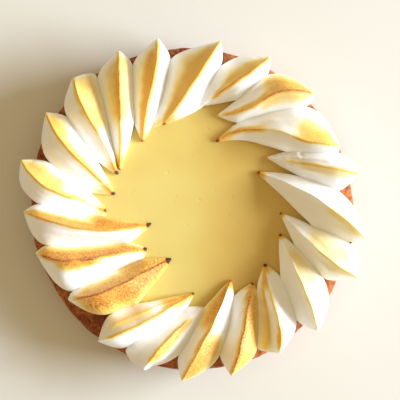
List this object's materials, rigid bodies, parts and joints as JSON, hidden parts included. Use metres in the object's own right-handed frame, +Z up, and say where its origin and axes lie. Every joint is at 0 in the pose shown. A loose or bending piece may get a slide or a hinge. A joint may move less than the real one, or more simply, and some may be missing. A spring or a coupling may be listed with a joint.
{
  "type": "lemon tart",
  "caption": "Round shortcrust tart filled with smooth lemon curd, ringed by a pinwheel of piped meringue blades with toasted crests.",
  "frame": {"origin": "centre of the flat underside of the shell, on the surface that the tart stands on", "axes": "+Z up out of the filling; +X to the right and +Y away in the view from above"},
  "size_m": [0.2112, 0.208, 0.0458],
  "materials": {
    "crust": "dry, crumbly, golden to red-brown",
    "curd": "smooth, soft sheen, slightly translucent lemon yellow",
    "meringue": "soft white, toasted gold to brown along the crests, charred at the tips"
  },
  "bodies": {
    "root": {"crust": "crust", "curd": "curd", "meringue_01": "meringue", "meringue_02": "meringue", "meringue_03": "meringue", "meringue_04": "meringue", "meringue_05": "meringue", "meringue_06": "meringue", "meringue_07": "meringue", "meringue_08": "meringue", "meringue_09": "meringue", "meringue_10": "meringue", "meringue_11": "meringue", "meringue_12": "meringue", "meringue_13": "meringue", "meringue_14": "meringue", "meringue_15": "meringue", "meringue_16": "meringue", "meringue_17": "meringue", "meringue_18": "meringue", "meringue_19": "meringue", "meringue_20": "meringue", "meringue_21": "meringue"}
  },
  "joints": []
}
